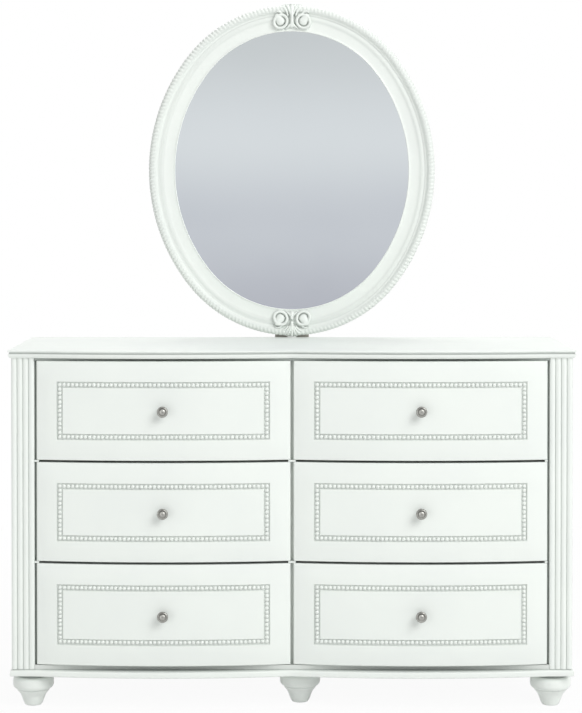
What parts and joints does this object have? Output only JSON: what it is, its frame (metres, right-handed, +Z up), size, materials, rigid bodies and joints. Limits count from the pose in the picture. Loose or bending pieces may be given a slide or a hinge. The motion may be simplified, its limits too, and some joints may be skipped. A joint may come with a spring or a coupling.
{
  "type": "dresser with mirror",
  "caption": "Double dresser with columns of bow-fronted drawers on slides, reeded corner posts, turned bun feet and an oval framed mirror standing above the back of its top.",
  "frame": {"origin": "on the floor, under the middle of the overall width and depth", "axes": "+X to the right of someone who faces the drawers, +Y from the drawers to the back, +Z up"},
  "size_m": [1.383, 0.524, 1.768],
  "materials": {
    "white_paint": "satin white paint",
    "inner_wood": "clear lacquer",
    "thin_board": "matt plywood",
    "slide_steel": "zinc plated",
    "knob_nickel": "satin nickel",
    "mirror_glass": "silvered glass"
  },
  "bodies": {
    "dresser_case": {"top_slab": "white_paint", "base_board": "white_paint", "corner_post_left": "white_paint", "corner_post_right": "white_paint", "side_panel_left": "white_paint", "side_panel_right": "white_paint", "centre_stile": "white_paint", "front_rails": "white_paint", "feet": "white_paint", "centre_partition": "inner_wood", "rear_rails": "inner_wood", "runner_cleats": "inner_wood", "back_panel": "thin_board", "case_runners": "slide_steel", "mirror_support_left": "inner_wood", "mirror_support_right": "inner_wood", "mirror_frame": "white_paint", "mirror_glass": "mirror_glass", "mirror_backboard": "thin_board", "mirror_scroll_top": "white_paint", "mirror_scroll_bottom": "white_paint"},
    "bottom_left_drawer": {"bottom_left_drawer_front": "white_paint", "bottom_left_bead_border": "white_paint", "bottom_left_knob": "knob_nickel", "bottom_left_drawer_box": "inner_wood", "bottom_left_drawer_bottom": "thin_board", "bottom_left_drawer_runners": "slide_steel"},
    "bottom_right_drawer": {"bottom_right_drawer_front": "white_paint", "bottom_right_bead_border": "white_paint", "bottom_right_knob": "knob_nickel", "bottom_right_drawer_box": "inner_wood", "bottom_right_drawer_bottom": "thin_board", "bottom_right_drawer_runners": "slide_steel"},
    "middle_left_drawer": {"middle_left_drawer_front": "white_paint", "middle_left_bead_border": "white_paint", "middle_left_knob": "knob_nickel", "middle_left_drawer_box": "inner_wood", "middle_left_drawer_bottom": "thin_board", "middle_left_drawer_runners": "slide_steel"},
    "middle_right_drawer": {"middle_right_drawer_front": "white_paint", "middle_right_bead_border": "white_paint", "middle_right_knob": "knob_nickel", "middle_right_drawer_box": "inner_wood", "middle_right_drawer_bottom": "thin_board", "middle_right_drawer_runners": "slide_steel"},
    "top_left_drawer": {"top_left_drawer_front": "white_paint", "top_left_bead_border": "white_paint", "top_left_knob": "knob_nickel", "top_left_drawer_box": "inner_wood", "top_left_drawer_bottom": "thin_board", "top_left_drawer_runners": "slide_steel"},
    "top_right_drawer": {"top_right_drawer_front": "white_paint", "top_right_bead_border": "white_paint", "top_right_knob": "knob_nickel", "top_right_drawer_box": "inner_wood", "top_right_drawer_bottom": "thin_board", "top_right_drawer_runners": "slide_steel"}
  },
  "joints": [
    {"name": "bottom_left_drawer_slide", "type": "slide", "parent": "dresser_case", "child": "bottom_left_drawer", "axis": [0, -1, 0], "range_m": [0, 0.28]},
    {"name": "bottom_right_drawer_slide", "type": "slide", "parent": "dresser_case", "child": "bottom_right_drawer", "axis": [0, -1, 0], "range_m": [0, 0.28]},
    {"name": "middle_left_drawer_slide", "type": "slide", "parent": "dresser_case", "child": "middle_left_drawer", "axis": [0, -1, 0], "range_m": [0, 0.28]},
    {"name": "middle_right_drawer_slide", "type": "slide", "parent": "dresser_case", "child": "middle_right_drawer", "axis": [0, -1, 0], "range_m": [0, 0.28]},
    {"name": "top_left_drawer_slide", "type": "slide", "parent": "dresser_case", "child": "top_left_drawer", "axis": [0, -1, 0], "range_m": [0, 0.28]},
    {"name": "top_right_drawer_slide", "type": "slide", "parent": "dresser_case", "child": "top_right_drawer", "axis": [0, -1, 0], "range_m": [0, 0.28]}
  ]
}
